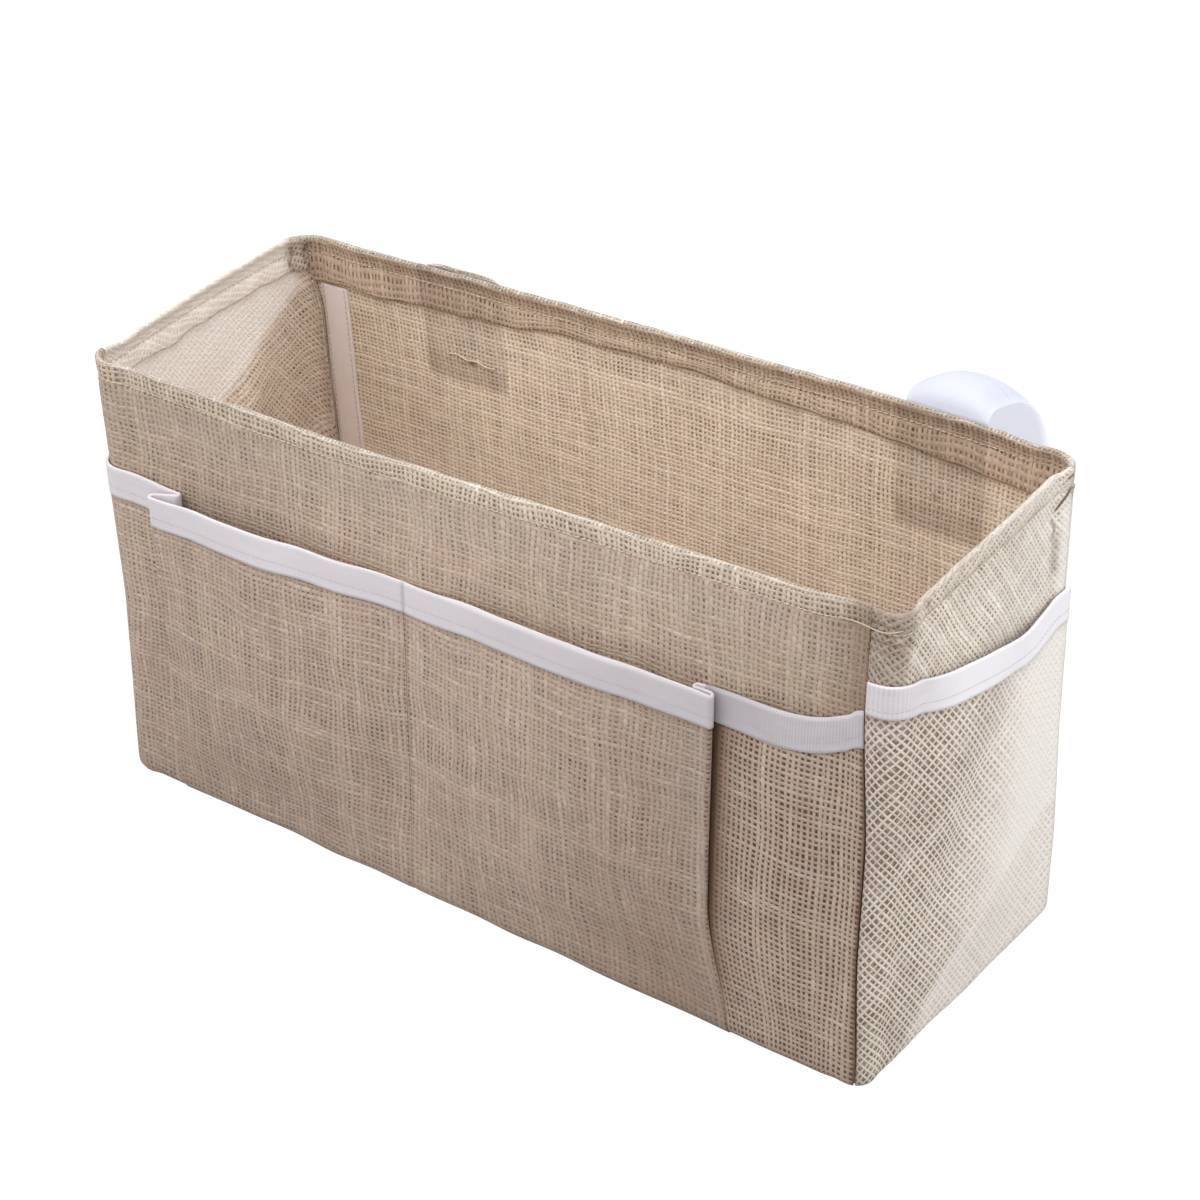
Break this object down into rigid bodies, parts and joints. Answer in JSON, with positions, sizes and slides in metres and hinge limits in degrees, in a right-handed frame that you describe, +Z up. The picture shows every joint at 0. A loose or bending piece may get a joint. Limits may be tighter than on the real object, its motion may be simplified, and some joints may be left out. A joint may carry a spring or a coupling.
{
  "type": "bedside caddy",
  "caption": "Long open-top bedside caddy of open linen mesh with a wired rim, white-banded pockets outside the front and ends, and hook-and-loop tape straps behind for a rail.",
  "frame": {"origin": "middle of the base's underside", "axes": "+X along the length towards the end that shows in the picture, -Y towards the wide front pocket, +Y towards the straps, +Z up"},
  "size_m": [0.468, 0.2678, 0.2587],
  "materials": {
    "linen": "open plain-weave linen mesh, slubbed yarns with see-through holes",
    "pocket_linen": "the same open linen mesh over the wall's own layer",
    "white_band": "white corded ribbon with fine upright ribs, matt",
    "white_tape": "smooth white woven tape, low sheen",
    "board": "stiff plastic sheet, matt, sewn in and hidden",
    "steel": "drawn spring steel wire"
  },
  "bodies": {
    "bin": {"front_panel": "linen", "right_end_panel": "linen", "back_panel": "linen", "left_end_panel": "linen", "front_hem": "linen", "right_hem": "linen", "back_hem": "linen", "left_hem": "linen", "bottom_panel": "linen", "bottom_lining": "linen", "left_strap_patch": "linen", "right_strap_patch": "linen", "front_pocket": "pocket_linen", "right_end_pocket": "pocket_linen", "left_end_pocket": "pocket_linen", "front_pocket_band": "white_band", "right_end_pocket_band": "white_band", "left_end_pocket_band": "white_band", "base_seam_binding": "white_tape", "corner_binding_front_left": "white_tape", "corner_binding_front_right": "white_tape", "corner_binding_back_right": "white_tape", "corner_binding_back_left": "white_tape", "left_loop_tape": "white_tape", "left_strap_anchor": "white_tape", "right_loop_tape": "white_tape", "right_strap_anchor": "white_tape", "base_board": "board", "rim_wire": "steel", "wire_sleeve": "steel"},
    "left_strap": {"left_strap_arch": "white_tape"},
    "left_strap_tail": {"left_strap_tail": "white_tape", "left_hook_tape": "white_tape"},
    "right_strap": {"right_strap_arch": "white_tape"},
    "right_strap_tail": {"right_strap_tail": "white_tape", "right_hook_tape": "white_tape"}
  },
  "joints": [
    {"name": "left_strap_swing", "type": "hinge", "parent": "bin", "child": "left_strap", "pos_m": [-0.12446, 0.07913, 0.24202], "axis": [0.9988, 0.0493, 0], "range_deg": [0, 100]},
    {"name": "left_tail_peel", "type": "hinge", "parent": "left_strap", "child": "left_strap_tail", "pos_m": [-0.12514, 0.09284, 0.22402], "axis": [0.9988, 0.0493, 0], "range_deg": [0, 100]},
    {"name": "right_strap_swing", "type": "hinge", "parent": "bin", "child": "right_strap", "pos_m": [0.14965, 0.09865, 0.25859], "axis": [0.9986, 0.052, 0], "range_deg": [0, 100]},
    {"name": "right_tail_peel", "type": "hinge", "parent": "right_strap", "child": "right_strap_tail", "pos_m": [0.14731, 0.14357, 0.23539], "axis": [0.9986, 0.052, 0], "range_deg": [0, 100]}
  ]
}
